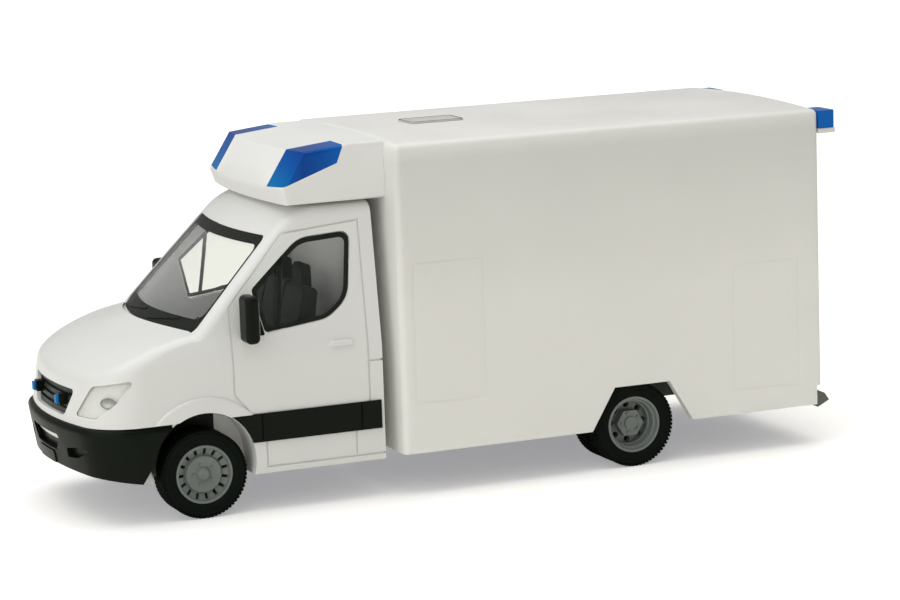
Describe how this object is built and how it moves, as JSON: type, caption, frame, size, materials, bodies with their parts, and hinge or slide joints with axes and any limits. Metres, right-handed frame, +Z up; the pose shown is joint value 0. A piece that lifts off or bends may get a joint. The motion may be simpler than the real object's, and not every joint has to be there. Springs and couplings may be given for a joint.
{
  "type": "scale model of a box-bodied ambulance",
  "caption": "Undecorated plastic scale model of an ambulance: van cab with glazing and seats, tall box body, blue beacons and rolling wheels.",
  "frame": {"origin": "on the floor under the middle of the model's outer box", "axes": "+X forward, +Y to the model's left, +Z up"},
  "size_m": [0.0753, 0.0274, 0.0329],
  "materials": {
    "cab_white": "bright white, glossy moulded",
    "box_white": "white, slightly translucent, satin moulded",
    "clear_glazing": "clear with a black edge",
    "clear_lens": "clear lens",
    "blue_lens": "clear deep blue",
    "red_lens": "clear red",
    "black_plastic": "near black, satin",
    "grille_grey": "dark grey, satin",
    "interior_grey": "dark grey, matt",
    "chassis_grey": "grey, matt",
    "hatch_grey": "pale grey, matt",
    "wheel_grey": "mid grey, satin",
    "axle_steel": "plain steel pin",
    "tyre_black": "black, matt"
  },
  "bodies": {
    "body": {"box_shell": "box_white", "cab_interior": "interior_grey", "cab_shell": "cab_white", "chassis": "chassis_grey", "flasher_block_left": "black_plastic", "flasher_block_right": "black_plastic", "flasher_lens_left": "blue_lens", "flasher_lens_right": "blue_lens", "front_beacon_left": "blue_lens", "front_beacon_right": "blue_lens", "front_bumper": "black_plastic", "grille": "grille_grey", "headlamp_left": "clear_lens", "headlamp_right": "clear_lens", "mirror_left": "black_plastic", "mirror_right": "black_plastic", "rear_beacon_left": "blue_lens", "rear_beacon_right": "blue_lens", "rear_step": "chassis_grey", "roof_hatch": "hatch_grey", "roof_pod": "cab_white", "side_band_left": "black_plastic", "side_band_right": "black_plastic", "side_window_left": "clear_glazing", "side_window_right": "clear_glazing", "steering_wheel": "interior_grey", "tail_lamp_left": "red_lens", "tail_lamp_right": "red_lens", "windscreen": "clear_glazing"},
    "front_wheels": {"front_axle": "axle_steel", "front_rim_left": "wheel_grey", "front_rim_right": "wheel_grey", "front_tyre_left": "tyre_black", "front_tyre_right": "tyre_black"},
    "rear_wheels": {"rear_axle": "axle_steel", "rear_inner_tyre_left": "tyre_black", "rear_inner_tyre_right": "tyre_black", "rear_outer_tyre_left": "tyre_black", "rear_outer_tyre_right": "tyre_black", "rear_rim_left": "wheel_grey", "rear_rim_right": "wheel_grey"}
  },
  "joints": [
    {"name": "front_wheels_roll", "type": "hinge", "parent": "body", "child": "front_wheels", "pos_m": [0.02595, 0, 0.004], "axis": [0, 1, 0], "continuous": true},
    {"name": "rear_wheels_roll", "type": "hinge", "parent": "body", "child": "rear_wheels", "pos_m": [-0.01615, 0, 0.004], "axis": [0, 1, 0], "continuous": true}
  ]
}
